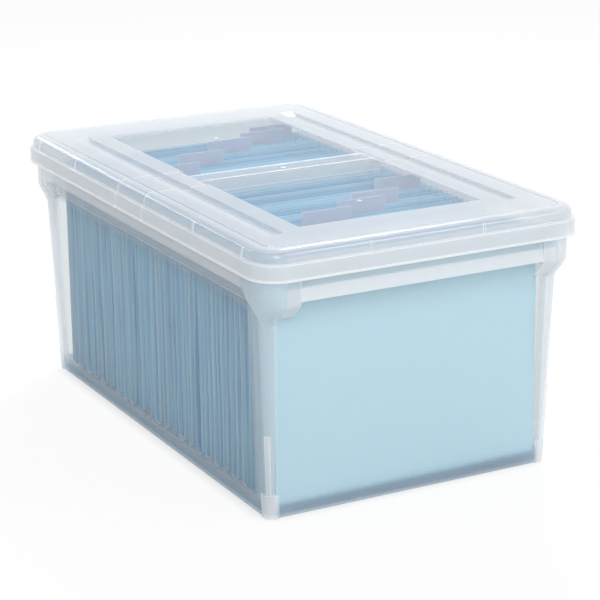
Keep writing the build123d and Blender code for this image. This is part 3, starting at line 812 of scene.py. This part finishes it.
class FILEBOX_OT_stage(bpy.types.Operator):
    """Set up the floor, sky, lamps and camera"""

    bl_idname = "filebox.stage"
    bl_label = "Stage"

    def execute(self, context):
        settings = context.scene.filebox_stage
        self.floor(context)
        self.sky(context, settings)
        for name, (place, width, depth) in LAMPS.items():
            self.lamp(context, name + "_lamp", place, width, depth, getattr(settings, name))
        self.camera(context, settings)
        context.scene.view_settings.view_transform = "Standard"
        context.scene.cycles.transparent_max_bounces = 32
        context.scene.cycles.max_bounces = 16
        context.scene.cycles.diffuse_bounces = 8
        return {"FINISHED"}

    def floor(self, context):
        """A pale floor, seen and mirrored as white apart from the shadow on it and the dark under the box."""
        steps = np.linspace(-FLOOR_HALF, FLOOR_HALF, 2)
        points = np.zeros((2, 2, 3))
        points[..., 0], points[..., 1] = np.meshgrid(steps, steps)
        thing = new_object(context, "floor", grid_mesh("floor", points))
        material, tree = new_material("floor_white_matt")
        matt = add(tree, "ShaderNodeBsdfDiffuse", {"Color": linear("#ECECEC")})
        white = add(tree, "ShaderNodeEmission", {"Color": (1, 1, 1, 1), "Strength": 1.0})
        path = add(tree, "ShaderNodeLightPath")
        across, along = places(tree)[:2]
        below = zone(tree, under(tree, across, TUB_TOP.x - 20 * MM, 15 * MM),
                     under(tree, along, TUB_TOP.y - 35 * MM, 15 * MM))
        looking = combine(tree, "MAXIMUM", path.outputs["Is Camera Ray"], path.outputs["Is Glossy Ray"])
        seen = combine(tree, "MULTIPLY", looking, combine(tree, "SUBTRACT", 1.0, below))
        share = combine(tree, "MULTIPLY", seen, FLOOR_WHITE)
        both = add(tree, "ShaderNodeMixShader", links={0: share, 1: matt.outputs[0], 2: white.outputs[0]})
        add(tree, "ShaderNodeOutputMaterial", links={"Surface": both.outputs[0]})
        thing.data.materials.append(material)

    def sky(self, context, settings):
        """An even white sky: the setting's strength where it lights, full white where seen or mirrored."""
        world = bpy.data.worlds.new("sky")
        context.scene.world = world
        world.use_nodes = True
        tree = world.node_tree
        tree.nodes.clear()
        path = add(tree, "ShaderNodeLightPath")
        lit = add(tree, "ShaderNodeBackground", {"Color": (1, 1, 1, 1), "Strength": settings.sky})
        shown = add(tree, "ShaderNodeBackground", {"Color": (1, 1, 1, 1), "Strength": 1.0})
        seen = combine(tree, "MAXIMUM", path.outputs["Is Camera Ray"], path.outputs["Is Transmission Ray"])
        seen = combine(tree, "MAXIMUM", seen, path.outputs["Is Glossy Ray"])
        mix = add(tree, "ShaderNodeMixShader", links={0: seen, 1: lit.outputs[0], 2: shown.outputs[0]})
        add(tree, "ShaderNodeOutputWorld", links={"Surface": mix.outputs[0]})

    def lamp(self, context, name, place, width, depth, power):
        """A soft rectangular lamp that looks at the middle of the box."""
        light = bpy.data.lights.new(name, "AREA")
        light.shape = "RECTANGLE"
        light.size = width
        light.size_y = depth
        light.energy = power
        thing = bpy.data.objects.new(name, light)
        context.scene.collection.objects.link(thing)
        thing.location = place
        aim = Vector(LAMP_AIM) - Vector(place)
        thing.rotation_euler = aim.to_track_quat("-Z", "Y").to_euler()

    def camera(self, context, settings):
        """A long lens that looks down on the front left corner."""
        camera = bpy.data.cameras.new("camera")
        camera.lens = settings.lens
        camera.sensor_width = 36
        camera.clip_start = 0.05
        thing = bpy.data.objects.new("camera", camera)
        context.scene.collection.objects.link(thing)
        heading = Matrix.Rotation(-settings.heading, 4, "Z")
        fall = Matrix.Rotation(math.pi / 2 - settings.fall, 4, "X")
        roll = Matrix.Rotation(settings.roll, 4, "Z")
        thing.matrix_world = Matrix.Translation(settings.camera_place) @ (heading @ fall @ roll)
        context.scene.camera = thing


class FILEBOX_PT_panel(bpy.types.Panel):
    """The operators and their settings"""

    bl_label = "File box"
    bl_space_type = "VIEW_3D"
    bl_region_type = "UI"
    bl_category = "File box"

    def draw(self, context):
        for operator in OPERATORS:
            self.layout.operator(operator.bl_idname)
        for name in SETTINGS:
            group = getattr(context.scene, name)
            column = self.layout.column()
            for item in group.__annotations__:
                column.prop(group, item)


SETTINGS = {
    "filebox_plastic": FILEBOX_PG_plastic,
    "filebox_gate": FILEBOX_PG_gate,
    "filebox_card": FILEBOX_PG_card,
    "filebox_tab": FILEBOX_PG_tab,
    "filebox_stage": FILEBOX_PG_stage,
}
OPERATORS = (FILEBOX_OT_tub, FILEBOX_OT_lid, FILEBOX_OT_hinges, FILEBOX_OT_gates, FILEBOX_OT_folders,
             FILEBOX_OT_hangers, FILEBOX_OT_tabs, FILEBOX_OT_stage)
CLASSES = (*SETTINGS.values(), *OPERATORS, FILEBOX_PT_panel)


def register():
    """Register the classes and the settings on the scene."""
    for item in CLASSES:
        bpy.utils.register_class(item)
    for name, group in SETTINGS.items():
        setattr(bpy.types.Scene, name, bpy.props.PointerProperty(type=group))


def unregister():
    """Undo register."""
    for name in SETTINGS:
        delattr(bpy.types.Scene, name)
    for item in reversed(CLASSES):
        bpy.utils.unregister_class(item)


def main():
    """Build the whole scene."""
    register()
    bpy.ops.filebox.tub()
    bpy.ops.filebox.lid()
    bpy.ops.filebox.hinges()
    bpy.ops.filebox.gates()
    bpy.ops.filebox.folders()
    bpy.ops.filebox.hangers()
    bpy.ops.filebox.tabs()
    bpy.ops.filebox.stage()


if __name__ == "__main__":
    main()
